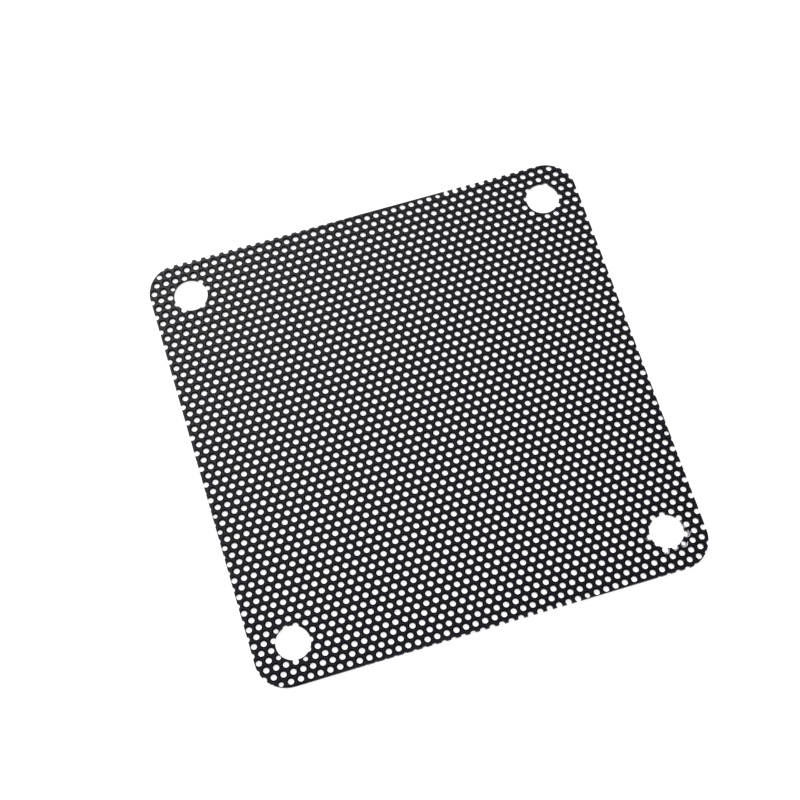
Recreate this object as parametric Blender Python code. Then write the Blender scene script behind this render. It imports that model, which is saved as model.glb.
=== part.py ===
"""Dust filter for a small square cooling fan, die-cut from perforated PVC sheet.

One flat, thin sheet with round corners and four screw holes. The stock is perforated
before it is cut, so its staggered rows lie slightly turned in the sheet and sag a little,
and the outer edge and the screw holes cut through them wherever they happen to meet.

The stock has about 2,400 fine holes in this square. The ones that an edge cuts through
are here one by one, at their true size and place. Inside the sheet every third hole of
every third row is drawn, three times as wide, so the open share of the stock is kept.

Units are metres. The origin is at the bottom centre of the sheet, with +Z up.
"""

import math

import bmesh
import bpy
from mathutils import Matrix, Vector

# Outline of the sheet
SIDE = 0.0600
THICKNESS = 0.00045
CORNER_RADIUS = 0.0041

# Screw holes: how far their square lies in from the sides, how far it was punched off
# the middle of the sheet, and their bore
SCREW_INSET = 0.00515
SCREW_SHIFT_X = 0.0002
SCREW_SHIFT_Y = 0.00025
SCREW_BORE = 0.0045

# Perforation of the stock: staggered rows, read from one hole near the upper left.
# The rows sag in the middle: at the sides of the sheet they lie this much higher.
BORE = 0.0008
PITCH = 0.0012735
ROW_SPACING = 0.001118
ROW_SHIFT = 0.0006568
ROW_ANGLE = math.radians(1.545)
FIRST_HOLE_X = -0.008177
FIRST_HOLE_Y = 0.014483
ROW_SAG = 0.000455

# What is drawn of the perforation inside the sheet
THINNING = 3
FIRST_COLUMN = 0
FIRST_ROW = 2
LEAST_WEB = 0.0003
LEAST_BITE = 0.0001

# Facets
CORNER_STEPS = 6
SCREW_BORE_SIDES = 24
WIDE_HOLE_SIDES = 8
CUT_HOLE_SIDES = 6
FLAT_ANGLE = math.radians(1)

# Charcoal PVC
SHEET_COLOUR = (0.017, 0.0165, 0.019, 1.0)
SHEET_ROUGHNESS = 0.42


def clear_scene():
    for old in list(bpy.data.objects):
        bpy.data.objects.remove(old)


def new_collection(name):
    collection = bpy.data.collections.new(name)
    bpy.context.scene.collection.children.link(collection)
    return collection


def pvc_material():
    material = bpy.data.materials.new("charcoal_pvc")
    material.use_nodes = True
    shader = material.node_tree.nodes["Principled BSDF"]
    shader.inputs["Base Color"].default_value = SHEET_COLOUR
    shader.inputs["Roughness"].default_value = SHEET_ROUGHNESS
    shader.inputs["Metallic"].default_value = 0.0
    return material


def round_square(side, radius, steps):
    """Corner points of a square with round corners, counter-clockwise."""
    inner = side / 2 - radius
    points = []
    for corner in range(4):
        start = corner * math.pi / 2
        centre = Vector((math.copysign(inner, math.cos(start + math.pi / 4)),
                         math.copysign(inner, math.sin(start + math.pi / 4))))
        for step in range(steps + 1):
            angle = start + step / steps * math.pi / 2
            points.append(centre + radius * Vector((math.cos(angle), math.sin(angle))))
    return points


def blank_sheet(collection):
    """The sheet before any hole is cut: its flat outline, half a thickness each way."""
    outline = bpy.data.curves.new("outline", "CURVE")
    outline.dimensions = "2D"
    outline.fill_mode = "BOTH"
    outline.extrude = THICKNESS / 2
    points = round_square(SIDE, CORNER_RADIUS, CORNER_STEPS)
    spline = outline.splines.new("POLY")
    spline.points.add(len(points) - 1)
    for spline_point, place in zip(spline.points, points):
        spline_point.co = (place.x, place.y, 0.0, 1.0)
    spline.use_cyclic_u = True

    drawn = bpy.data.objects.new("outline", outline)
    drawn.location.z = THICKNESS / 2
    collection.objects.link(drawn)
    bpy.context.view_layer.update()
    evaluated = drawn.evaluated_get(bpy.context.evaluated_depsgraph_get())
    mesh = bpy.data.meshes.new_from_object(evaluated)

    welded = bmesh.new()
    welded.from_mesh(mesh)
    bmesh.ops.remove_doubles(welded, verts=welded.verts, dist=THICKNESS / 1000)
    bmesh.ops.dissolve_limit(welded, angle_limit=FLAT_ANGLE, verts=welded.verts,
                             edges=welded.edges)
    welded.to_mesh(mesh)
    welded.free()

    sheet = bpy.data.objects.new("filter_sheet", mesh)
    sheet.matrix_world = drawn.matrix_world
    collection.objects.link(sheet)
    bpy.data.objects.remove(drawn)
    return sheet


def lattice_hole(column, row):
    """Centre of one perforation of the stock."""
    along = PITCH * column + ROW_SHIFT * row
    across = ROW_SPACING * row
    turned = Matrix.Rotation(ROW_ANGLE, 2) @ Vector((along, across))
    x = FIRST_HOLE_X + turned.x
    y = FIRST_HOLE_Y + turned.y
    return Vector((x, y + ROW_SAG * (x / (SIDE / 2)) ** 2))


def stock_holes():
    """Every perforation whose centre lies on or just outside the sheet, by column and row."""
    reach = SIDE * math.sqrt(2)
    rows = math.ceil(reach / ROW_SPACING)
    for row in range(-rows, rows + 1):
        middle = -row * ROW_SHIFT / PITCH
        columns = math.ceil(reach / PITCH)
        for column in range(math.floor(middle) - columns, math.ceil(middle) + columns + 1):
            centre = lattice_hole(column, row)
            if max(abs(centre.x), abs(centre.y)) < SIDE / 2 + BORE:
                yield column, row, centre


def depth_from_edge(place):
    """How far a point lies inside the outline. It is negative outside."""
    past_x = abs(place.x) - (SIDE / 2 - CORNER_RADIUS)
    past_y = abs(place.y) - (SIDE / 2 - CORNER_RADIUS)
    past_corner = math.hypot(max(past_x, 0.0), max(past_y, 0.0))
    return CORNER_RADIUS - past_corner - min(max(past_x, past_y), 0.0)


def depth_from_screw_hole(place):
    """How far a point lies from the nearest screw hole's wall. It is negative in the hole."""
    to_x = abs(place.x - SCREW_SHIFT_X) - (SIDE / 2 - SCREW_INSET)
    to_y = abs(place.y - SCREW_SHIFT_Y) - (SIDE / 2 - SCREW_INSET)
    return math.hypot(to_x, to_y) - SCREW_BORE / 2


def cut_through_holes():
    """The perforations that the outer edge or a screw hole cuts through."""
    bite = BORE / 2 - LEAST_BITE
    holes = []
    for column, row, centre in stock_holes():
        nearest_wall = min(depth_from_edge(centre), depth_from_screw_hole(centre))
        if abs(nearest_wall) < bite:
            holes.append(centre)
    return holes


def wide_holes(cut_through):
    """The thinned perforation inside the sheet, clear of every edge and cut-through hole."""
    radius = THINNING * BORE / 2
    to_wall = radius + LEAST_WEB
    to_cut_hole = radius + BORE / 2 + LEAST_WEB / 2
    holes = []
    for column, row, centre in stock_holes():
        if (column - FIRST_COLUMN) % THINNING or (row - FIRST_ROW) % THINNING:
            continue
        if min(depth_from_edge(centre), depth_from_screw_hole(centre)) < to_wall:
            continue
        if all((centre - other).length > to_cut_hole for other in cut_through):
            holes.append(centre)
    return holes


def equal_area_radius(bore, sides):
    """Corner radius of the regular polygon with the area of a round bore."""
    circle = math.pi * bore ** 2 / 4
    return math.sqrt(2 * circle / (sides * math.sin(2 * math.pi / sides)))


def add_punch(punches, centre, radius, sides, turn):
    """One prism through both faces of the sheet."""
    place = Matrix.Translation((centre.x, centre.y, THICKNESS / 2))
    bmesh.ops.create_cone(punches, cap_ends=True, segments=sides, radius1=radius,
                          radius2=radius, depth=3 * THICKNESS,
                          matrix=place @ Matrix.Rotation(turn, 4, "Z"))


def punch_through(sheet, punches, name, collection):
    """Cuts the sheet with all prisms of one set."""
    mesh = bpy.data.meshes.new(name)
    punches.to_mesh(mesh)
    punches.free()
    cutter = bpy.data.objects.new(name, mesh)
    cutter.hide_render = True
    cutter.display_type = "WIRE"
    collection.objects.link(cutter)
    cut = sheet.modifiers.new(name, "BOOLEAN")
    cut.operation = "DIFFERENCE"
    cut.solver = "EXACT"
    cut.object = cutter


def cut_screw_holes(sheet, collection):
    punches = bmesh.new()
    middle = Vector((SCREW_SHIFT_X, SCREW_SHIFT_Y))
    for side_x in (-1, 1):
        for side_y in (-1, 1):
            centre = middle + Vector((side_x, side_y)) * (SIDE / 2 - SCREW_INSET)
            add_punch(punches, centre, SCREW_BORE / 2, SCREW_BORE_SIDES, 0.0)
    punch_through(sheet, punches, "screw_hole_punches", collection)


def cut_perforation(sheet, collection):
    punches = bmesh.new()
    cut_through = cut_through_holes()
    cut_radius = equal_area_radius(BORE, CUT_HOLE_SIDES)
    for centre in cut_through:
        add_punch(punches, centre, cut_radius, CUT_HOLE_SIDES, ROW_ANGLE)
    wide_radius = equal_area_radius(THINNING * BORE, WIDE_HOLE_SIDES)
    half_facet = math.pi / WIDE_HOLE_SIDES
    for centre in wide_holes(cut_through):
        add_punch(punches, centre, wide_radius, WIDE_HOLE_SIDES, ROW_ANGLE + half_facet)
    punch_through(sheet, punches, "perforation_punches", collection)


def build():
    clear_scene()
    parts = new_collection("fan_dust_filter")
    cutters = new_collection("cutters")
    sheet = blank_sheet(parts)
    sheet.data.materials.clear()
    sheet.data.materials.append(pvc_material())
    cut_screw_holes(sheet, cutters)
    cut_perforation(sheet, cutters)


build()
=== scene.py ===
"""Looks of the fan dust filter: the whole perforation, the PVC surface, floor, light and camera."""

import math

import bpy
import numpy as np
from mathutils import Matrix, Vector
from mathutils.geometry import delaunay_2d_cdt
from mathutils.kdtree import KDTree


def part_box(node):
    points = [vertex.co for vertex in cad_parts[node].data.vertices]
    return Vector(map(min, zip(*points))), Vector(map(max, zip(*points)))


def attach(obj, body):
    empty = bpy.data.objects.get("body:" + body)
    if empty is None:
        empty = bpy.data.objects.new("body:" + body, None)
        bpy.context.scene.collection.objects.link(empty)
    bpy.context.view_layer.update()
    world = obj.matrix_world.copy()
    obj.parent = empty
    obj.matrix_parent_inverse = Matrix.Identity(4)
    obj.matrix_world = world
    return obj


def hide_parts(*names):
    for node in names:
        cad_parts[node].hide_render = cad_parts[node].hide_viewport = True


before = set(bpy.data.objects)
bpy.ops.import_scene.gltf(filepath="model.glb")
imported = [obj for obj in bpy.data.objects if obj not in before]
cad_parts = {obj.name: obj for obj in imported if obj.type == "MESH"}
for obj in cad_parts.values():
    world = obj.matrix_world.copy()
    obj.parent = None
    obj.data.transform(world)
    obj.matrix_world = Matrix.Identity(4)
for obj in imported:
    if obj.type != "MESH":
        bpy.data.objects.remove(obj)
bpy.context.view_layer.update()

# The flat sheet is laid out in millimetres, and its mesh is made in metres
MM = 0.001
LOW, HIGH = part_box("filter_sheet")
SIDE = (HIGH.x - LOW.x) / MM
THICKNESS = (HIGH.z - LOW.z) / MM

# Outline and screw holes, whose square was punched a little off the middle
CORNER_RADIUS = 4.1
CORNER_STEPS = 14
SCREW_SPACING = 49.7
SCREW_SHIFT = Vector((0.2, 0.25))
SCREW_BORE = 4.5
SCREW_BORE_SIDES = 48

# Perforation of the stock: staggered rows, read from one hole near the upper left.
# The rows sag in the middle: at the sides of the sheet they lie this much higher.
BORE = 0.80
PITCH = 1.2735
ROW_SPACING = 1.118
ROW_SHIFT = 0.6568
ROW_ANGLE = math.radians(1.545)
FIRST_HOLE = Vector((-8.177, 14.483))
ROW_SAG = 0.455
HOLE_SIDES = 12

# The thinnest web that is left beside a hole, and the shallowest bite out of an edge
LEAST_WEB = 0.045

# The punch draws the upper rim of every hole in: so far in and down, but never over more than
# this share of the way to the next wall. The rim's inner edge is shaded as if it fell off at
# ROLL_CREASE, and a pointed lip is drawn in no further than one with LEAST_LIP_COSINE.
ROLL_WIDTH = 0.17
ROLL_DEPTH = 0.05
ROLL_SHARE = 0.4
ROLL_CREASE = math.radians(38)
LEAST_LIP_COSINE = -0.3

# A wall that turns by less than this from facet to facet is shaded as round
ROUND_BELOW = math.radians(50)

# Where the lower right screw hole's punch left rims frayed and pale: x, y and reach
FRAYED = [
    (27.70, -25.55, 0.42),
    (27.20, -26.10, 0.40),
    (26.75, -27.05, 0.40),
    (26.05, -26.75, 0.40),
    (25.45, -27.15, 0.30),
    (24.25, -27.15, 0.34),
    (22.50, -24.90, 0.32),
    (27.15, -23.60, 0.30),
    (27.50, -24.60, 0.26),
]
FRAY_WIDTH = 0.26
FRAY_SHARE = 0.55

# The sheet's four finishes, by the number of their material
FACE, RIM, WALL, FRAY = range(4)

# Points of the layout that are nearer than this become one
WELD_DISTANCE = 1e-6

# Where a lip turns right back its two sides cancel out: nothing is divided by less than this
LEAST_LENGTH = 1e-9

# Sockets of a mix node that mixes colours
MIX_FACTOR, MIX_LOW, MIX_HIGH, MIXED = 0, 6, 7, 2

# The floor in metres: its flat part, the sweep up round it, and its gap under the sheet.
# Its own tone and its glow in the view add up to white.
FLOOR_REACH = 2.0
FLOOR_SWEEP = 0.8
FLOOR_STEPS = 12
FLOOR_SIDES = 96
FLOOR_GAP = 0.00002
FLOOR_TONE = 0.3
FLOOR_GLOW = 0.88

# Light, in metres and watts: a high key from behind, a low fill from the left and an even studio
KEY_PLACE = (-0.117, 0.665, 0.804)
KEY_POWER = 10.7
FILL_PLACE = (-0.90, -0.10, 0.45)
FILL_POWER = 4
LAMP_SIZE = 0.4
STUDIO_LIGHT = 0.2

# The photograph's view in metres, solved from the perforation, the edges and the screw holes
CAMERA_PLACE = Vector((-0.03022, -0.08326, 0.23493))
CAMERA_AIM = Vector((-0.0023, 0.00253, THICKNESS * MM))
CAMERA_ROLL = math.radians(0.98)
CAMERA_LENS = 86.2
CAMERA_SENSOR = 36
CAMERA_NEAREST = 0.01


def round_square(side, radius, steps):
    """Corner points of a square with round corners, counter-clockwise."""
    inner = side / 2 - radius
    points = []
    for corner in range(4):
        start = corner * math.pi / 2
        centre = Vector((math.copysign(inner, math.cos(start + math.pi / 4)),
                         math.copysign(inner, math.sin(start + math.pi / 4))))
        for step in range(steps + 1):
            angle = start + step / steps * math.pi / 2
            points.append(centre + radius * Vector((math.cos(angle), math.sin(angle))))
    return points


def ring(centre, radius, sides, turn=0.0):
    """Corner points of a regular polygon, counter-clockwise."""
    angles = [turn + 2 * math.pi * side / sides for side in range(sides)]
    return [centre + radius * Vector((math.cos(a), math.sin(a))) for a in angles]


def lattice_hole(column, row):
    """Centre of one perforation of the stock."""
    along = PITCH * column + ROW_SHIFT * row
    across = ROW_SPACING * row
    straight = FIRST_HOLE + Matrix.Rotation(ROW_ANGLE, 2) @ Vector((along, across))
    return straight + Vector((0, ROW_SAG * (straight.x / (SIDE / 2)) ** 2))


def depth_from_edge(place):
    """How far a point lies inside the outline. It is negative outside."""
    past_x = abs(place.x) - (SIDE / 2 - CORNER_RADIUS)
    past_y = abs(place.y) - (SIDE / 2 - CORNER_RADIUS)
    past_corner = math.hypot(max(past_x, 0.0), max(past_y, 0.0))
    return CORNER_RADIUS - past_corner - min(max(past_x, past_y), 0.0)


def depth_from_screw_hole(place):
    """How far a point lies from the nearest screw hole's wall. It is negative in the hole."""
    to_x = abs(place.x - SCREW_SHIFT.x) - SCREW_SPACING / 2
    to_y = abs(place.y - SCREW_SHIFT.y) - SCREW_SPACING / 2
    return math.hypot(to_x, to_y) - SCREW_BORE / 2


def stock_holes():
    """Centre and radius of every perforation, whole ones and those an edge cuts through."""
    reach = math.ceil(SIDE / ROW_SPACING)
    holes = []
    for row in range(-2 * reach, 2 * reach):
        for column in range(-2 * reach, 2 * reach):
            centre = lattice_hole(column, row)
            to_wall = min(depth_from_edge(centre), depth_from_screw_hole(centre))
            if to_wall < LEAST_WEB - BORE / 2:
                continue
            just_whole = abs(to_wall - BORE / 2) < LEAST_WEB
            holes.append((centre, to_wall - LEAST_WEB if just_whole else BORE / 2))
    return holes


def flat_layout(holes):
    """The holed sheet as flat triangles: their corner points and the corners of each."""
    outlines = [round_square(SIDE, CORNER_RADIUS, CORNER_STEPS)]
    for side_x in (-1, 1):
        for side_y in (-1, 1):
            centre = SCREW_SHIFT + Vector((side_x, side_y)) * SCREW_SPACING / 2
            outlines.append(ring(centre, SCREW_BORE / 2, SCREW_BORE_SIDES))
    for centre, radius in holes:
        outlines.append(ring(centre, radius, HOLE_SIDES, ROW_ANGLE))
    points = [point for outline in outlines for point in outline]
    faces = []
    first = 0
    for outline in outlines:
        faces.append(list(range(first, first + len(outline))))
        first += len(outline)
    every_triangle, with_origins = 0, True
    layout = delaunay_2d_cdt(points, [], faces, every_triangle, WELD_DISTANCE, with_origins)
    corners, triangles, inside_of = layout[0], layout[2], layout[5]
    # Material lies inside the outer outline, which is number 0, and inside no hole
    kept = [t for t, inside in zip(triangles, inside_of) if list(inside) == [0]]
    used, kept = np.unique(np.array(kept), return_inverse=True)
    corners = np.array(corners)[used]
    return corners, kept.reshape(-1, 3)


def rim_edges(triangles):
    """The edges that only one triangle has, each with the material on its left."""
    edges = np.concatenate([triangles[:, [0, 1]], triangles[:, [1, 2]], triangles[:, [2, 0]]])
    count = triangles.max() + 1
    forward = edges[:, 0] * count + edges[:, 1]
    backward = edges[:, 1] * count + edges[:, 0]
    return edges[~np.isin(forward, backward)]


def is_frayed(places):
    """Which of these places the punch left frayed."""
    frayed = np.zeros(len(places), dtype=bool)
    for x, y, reach in FRAYED:
        frayed |= np.hypot(places[:, 0] - x, places[:, 1] - y) < reach
    return frayed


def rim_roll(corners, holes):
    """How far each corner's upper rim is drawn in: less where another wall is near."""
    tree = KDTree(len(holes))
    for number, (centre, radius) in enumerate(holes):
        tree.insert(centre.to_3d(), number)
    tree.balance()
    rolls = []
    for corner, frayed in zip(corners, is_frayed(corners)):
        place = Vector(corner)
        to_hole = abs(tree.find(place.to_3d())[2] - BORE / 2)
        to_walls = [to_hole, abs(depth_from_edge(place)), abs(depth_from_screw_hole(place))]
        # The nearest wall is the corner's own
        to_next = sorted(to_walls)[1]
        if frayed:
            rolls.append(min(FRAY_WIDTH, FRAY_SHARE * to_next))
        else:
            rolls.append(min(ROLL_WIDTH, ROLL_SHARE * to_next))
    return np.array(rolls)[:, None]


def rim_inward(corners, rim):
    """For each rim corner, the inward side of the edge that leaves it and that reaches it."""
    along = corners[rim[:, 1]] - corners[rim[:, 0]]
    along /= np.linalg.norm(along, axis=1)[:, None]
    inward = np.stack([-along[:, 1], along[:, 0]], axis=1)
    leaving = np.zeros_like(corners)
    arriving = np.zeros_like(corners)
    leaving[rim[:, 0]] = inward
    arriving[rim[:, 1]] = inward
    return leaving, arriving


def into_material(leaving, arriving):
    """For each rim corner, the step that moves both of its edges one unit into the sheet."""
    cosine = np.maximum((leaving * arriving).sum(axis=1), LEAST_LIP_COSINE)
    return (leaving + arriving) / (1 + cosine)[:, None]


def at_height(flat, height):
    """Flat points or directions as ones in space, all with the same height."""
    return np.hstack([flat, np.full((len(flat), 1), height)])


def wall_normals(rim, leaving, arriving):
    """At both ends of each rim edge, the way its wall faces: round a bore it turns evenly."""
    round_here = (leaving * arriving).sum(axis=1) > math.cos(ROUND_BELOW)
    even = leaving + arriving
    even /= np.maximum(np.linalg.norm(even, axis=1), LEAST_LENGTH)[:, None]
    own = leaving[rim[:, 0]]
    ends = []
    for end in (rim[:, 0], rim[:, 1]):
        facing = -np.where(round_here[end][:, None], even[end], own)
        ends.append(at_height(facing, 0.0))
    return ends


def crease_normals(sideways):
    """The way the rolled rim faces where it starts to fall off from the upper face."""
    return math.sin(ROLL_CREASE) * sideways + np.array((0, 0, math.cos(ROLL_CREASE)))


def face_normals(triangles, rim, leaving, arriving):
    """The way every corner of every face faces: lower and upper face, walls, rolled rims."""
    at_start, at_end = wall_normals(rim, leaving, arriving)
    top_start, top_end = crease_normals(at_start), crease_normals(at_end)
    return np.concatenate([
        np.tile((0.0, 0.0, -1.0), (3 * len(triangles), 1)),
        np.tile((0.0, 0.0, 1.0), (3 * len(triangles), 1)),
        np.stack([at_start, at_end, at_end, at_start], axis=1).reshape(-1, 3),
        np.stack([at_start, at_end, top_end, top_start], axis=1).reshape(-1, 3),
    ])


def face_finishes(corners, triangles, rim):
    """The finish of every face: lower and upper face, walls, rolled rims."""
    frayed = is_frayed((corners[rim[:, 0]] + corners[rim[:, 1]]) / 2)
    return np.concatenate([
        np.full(2 * len(triangles), FACE),
        np.where(frayed, FRAY, WALL),
        np.where(frayed, FRAY, RIM),
    ])


def perforated_sheet():
    """The sheet as one closed mesh, with the upper rims drawn in and the lower ones sharp."""
    holes = stock_holes()
    corners, triangles = flat_layout(holes)
    rim = rim_edges(triangles)
    leaving, arriving = rim_inward(corners, rim)
    drawn_in = corners + rim_roll(corners, holes) * into_material(leaving, arriving)
    places = np.concatenate([
        at_height(corners, 0.0),
        at_height(corners, THICKNESS - ROLL_DEPTH),
        at_height(drawn_in, THICKNESS),
    ]) * MM

    count = len(corners)
    start, end = rim[:, 0], rim[:, 1]
    walls = np.stack([start, end, end + count, start + count], axis=1)
    rolls = walls + count
    faces = triangles[:, ::-1].tolist() + (triangles + 2 * count).tolist()
    faces += walls.tolist() + rolls.tolist()

    mesh = bpy.data.meshes.new("perforated_sheet")
    mesh.from_pydata(places.tolist(), [], faces)
    # In the order of FACE, RIM, WALL and FRAY
    for material in (pvc_face(), pvc_rim_painted_shade(), pvc_wall(), pvc_fray()):
        mesh.materials.append(material)
    mesh.polygons.foreach_set("material_index", face_finishes(corners, triangles, rim))
    mesh.polygons.foreach_set("use_smooth", [True] * len(faces))
    normals = face_normals(triangles, rim, leaving, arriving)
    mesh.normals_split_custom_set(normals.tolist())
    mesh.update()
    sheet = bpy.data.objects.new("perforated_sheet", mesh)
    bpy.context.scene.collection.objects.link(sheet)
    return sheet


def new_material(name, specular=0.5):
    material = bpy.data.materials.new(name)
    material.use_nodes = True
    nodes = material.node_tree.nodes
    nodes["Principled BSDF"].inputs["Specular IOR Level"].default_value = specular
    return material, nodes, material.node_tree.links


def noise(nodes, links, scale, detail, stretch=(1, 1, 1)):
    """A noise in the sheet's own metres. A stretch below 1 draws it out along that axis."""
    place = nodes.new("ShaderNodeTexCoord")
    spread = nodes.new("ShaderNodeMapping")
    spread.inputs["Scale"].default_value = stretch
    links.new(place.outputs["Object"], spread.inputs["Vector"])
    texture = nodes.new("ShaderNodeTexNoise")
    texture.inputs["Scale"].default_value = scale
    texture.inputs["Detail"].default_value = detail
    links.new(spread.outputs["Vector"], texture.inputs["Vector"])
    return texture.outputs["Fac"]


def mottle(nodes, links, factor, low, high):
    """The shader's colour runs from one to the other with the factor."""
    colour = nodes.new("ShaderNodeMix")
    colour.data_type = "RGBA"
    colour.inputs[MIX_LOW].default_value = (*low, 1)
    colour.inputs[MIX_HIGH].default_value = (*high, 1)
    links.new(factor, colour.inputs[MIX_FACTOR])
    links.new(colour.outputs[MIXED], nodes["Principled BSDF"].inputs["Base Color"])


def roughen(nodes, links, factor, low, high):
    """The shader's roughness runs from one to the other with the factor."""
    roughness = nodes.new("ShaderNodeMapRange")
    roughness.inputs["To Min"].default_value = low
    roughness.inputs["To Max"].default_value = high
    links.new(factor, roughness.inputs["Value"])
    links.new(roughness.outputs["Result"], nodes["Principled BSDF"].inputs["Roughness"])


def emboss(nodes, links, factor, strength, height):
    """The surface rises with the factor, by a height in metres."""
    bump = nodes.new("ShaderNodeBump")
    bump.inputs["Strength"].default_value = strength
    bump.inputs["Distance"].default_value = height
    links.new(factor, bump.inputs["Height"])
    links.new(bump.outputs["Normal"], nodes["Principled BSDF"].inputs["Normal"])


def pvc_face():
    """Calendered black PVC: near black with a cool tint, faintly cloudy, with a fine grain."""
    material, nodes, links = new_material("charcoal_pvc", specular=0.14)
    clouds = noise(nodes, links, scale=500, detail=4)
    grain = noise(nodes, links, scale=7000, detail=3)
    mottle(nodes, links, clouds, low=(0.0068, 0.0054, 0.0110), high=(0.0082, 0.0066, 0.0130))
    roughen(nodes, links, grain, low=0.32, high=0.44)
    emboss(nodes, links, grain, strength=0.5, height=0.00001)
    return material


def pvc_rim_painted_shade():
    """The drawn-in upper rims: rubbed dull by the punch, and coloured darker than the face as
    painted shade round every hole.
    """
    material, nodes, links = new_material("charcoal_pvc_rim", specular=0.06)
    rub = noise(nodes, links, scale=6000, detail=2)
    # Painted shade: both rim colours are darker than the face's, a dark ring round every hole
    mottle(nodes, links, rub, low=(0.0018, 0.0016, 0.0030), high=(0.0030, 0.0026, 0.0044))
    roughen(nodes, links, rub, low=0.5, high=0.7)
    emboss(nodes, links, rub, strength=0.3, height=0.00001)
    return material


def pvc_wall():
    """The punched walls: stretched a little pale, with drag lines from the punch."""
    material, nodes, links = new_material("charcoal_pvc_cut", specular=0.06)
    drag = noise(nodes, links, scale=9000, detail=2, stretch=(1, 1, 0.1))
    mottle(nodes, links, drag, low=(0.10, 0.095, 0.105), high=(0.16, 0.152, 0.168))
    roughen(nodes, links, drag, low=0.25, high=0.4)
    emboss(nodes, links, drag, strength=0.3, height=0.00001)
    return material


def pvc_fray():
    """PVC that the punch stretched until it frayed: patches nearly white, the rest dark."""
    material, nodes, links = new_material("charcoal_pvc_frayed")
    fray = noise(nodes, links, scale=9000, detail=3)
    patches = nodes.new("ShaderNodeMapRange")
    patches.inputs["From Min"].default_value = 0.44
    patches.inputs["From Max"].default_value = 0.58
    links.new(fray, patches.inputs["Value"])
    mottle(nodes, links, patches.outputs["Result"],
           low=(0.01, 0.012, 0.015), high=(0.80, 0.80, 0.86))
    roughen(nodes, links, fray, low=0.5, high=0.8)
    emboss(nodes, links, fray, strength=0.8, height=0.00003)
    return material


def floor_mesh():
    """A round floor that sweeps up into a low wall, far enough out for the low views."""
    points = []
    for step in range(FLOOR_STEPS + 1):
        angle = step / FLOOR_STEPS * math.pi / 2
        radius = FLOOR_REACH + FLOOR_SWEEP * math.sin(angle)
        height = FLOOR_SWEEP * (1 - math.cos(angle)) - FLOOR_GAP
        for point in ring(Vector((0, 0)), radius, FLOOR_SIDES):
            points.append((point.x, point.y, height))
    faces = [list(range(FLOOR_SIDES))]
    for step in range(FLOOR_STEPS):
        for side in range(FLOOR_SIDES):
            here = step * FLOOR_SIDES + side
            beside = step * FLOOR_SIDES + (side + 1) % FLOOR_SIDES
            faces.append((here, here + FLOOR_SIDES, beside + FLOOR_SIDES, beside))
    mesh = bpy.data.meshes.new("floor")
    mesh.from_pydata(points, [], faces)
    mesh.polygons.foreach_set("use_smooth", [False] + [True] * (len(faces) - 1))
    mesh.update()
    return mesh


def combine(nodes, links, operation, first, second):
    """The result of one sum on two node outputs."""
    result = nodes.new("ShaderNodeMath")
    result.operation = operation
    links.new(first, result.inputs[0])
    links.new(second, result.inputs[1])
    return result.outputs["Value"]


def floor_white():
    """Matt, and lit like any floor, but where the view meets it a glow lifts it to white."""
    material, nodes, links = new_material("floor_white", specular=0.0)
    shader = nodes["Principled BSDF"]
    shader.inputs["Base Color"].default_value = (FLOOR_TONE, FLOOR_TONE, FLOOR_TONE, 1)
    shader.inputs["Roughness"].default_value = 0.9
    shader.inputs["Emission Color"].default_value = (1, 1, 1, 1)
    ray = nodes.new("ShaderNodeLightPath").outputs
    seen = combine(nodes, links, "MAXIMUM", ray["Is Camera Ray"], ray["Is Glossy Ray"])
    seen = combine(nodes, links, "MAXIMUM", seen, ray["Is Transmission Ray"])
    glow = nodes.new("ShaderNodeMath")
    glow.operation = "MULTIPLY"
    glow.inputs[1].default_value = FLOOR_GLOW
    links.new(seen, glow.inputs[0])
    links.new(glow.outputs["Value"], shader.inputs["Emission Strength"])
    return material


def floor():
    plane = bpy.data.objects.new("floor", floor_mesh())
    bpy.context.scene.collection.objects.link(plane)
    plane.data.materials.append(floor_white())


def area_light(name, place, power):
    """A round lamp that points at the sheet."""
    data = bpy.data.lights.new(name, "AREA")
    data.shape = "DISK"
    data.size = LAMP_SIZE
    data.energy = power
    lamp = bpy.data.objects.new(name, data)
    lamp.location = place
    lamp.rotation_euler = (-Vector(place)).to_track_quat("-Z", "Y").to_euler()
    bpy.context.scene.collection.objects.link(lamp)


def light():
    world = bpy.data.worlds.new("studio")
    bpy.context.scene.world = world
    world.use_nodes = True
    background = world.node_tree.nodes["Background"]
    background.inputs["Color"].default_value = (1, 1, 1, 1)
    background.inputs["Strength"].default_value = STUDIO_LIGHT
    area_light("key", KEY_PLACE, KEY_POWER)
    area_light("fill", FILL_PLACE, FILL_POWER)


def camera():
    data = bpy.data.cameras.new("camera")
    data.sensor_width = CAMERA_SENSOR
    data.lens = CAMERA_LENS
    data.clip_start = CAMERA_NEAREST
    holder = bpy.data.objects.new("camera", data)
    towards = (CAMERA_AIM - CAMERA_PLACE).to_track_quat("-Z", "Y").to_matrix().to_4x4()
    roll = Matrix.Rotation(CAMERA_ROLL, 4, "Z")
    holder.matrix_world = Matrix.Translation(CAMERA_PLACE) @ towards @ roll
    bpy.context.scene.collection.objects.link(holder)
    bpy.context.scene.camera = holder


sheet = perforated_sheet()
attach(sheet, "root")
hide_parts("filter_sheet")
floor()
light()
camera()
bpy.context.scene.view_settings.view_transform = "Standard"
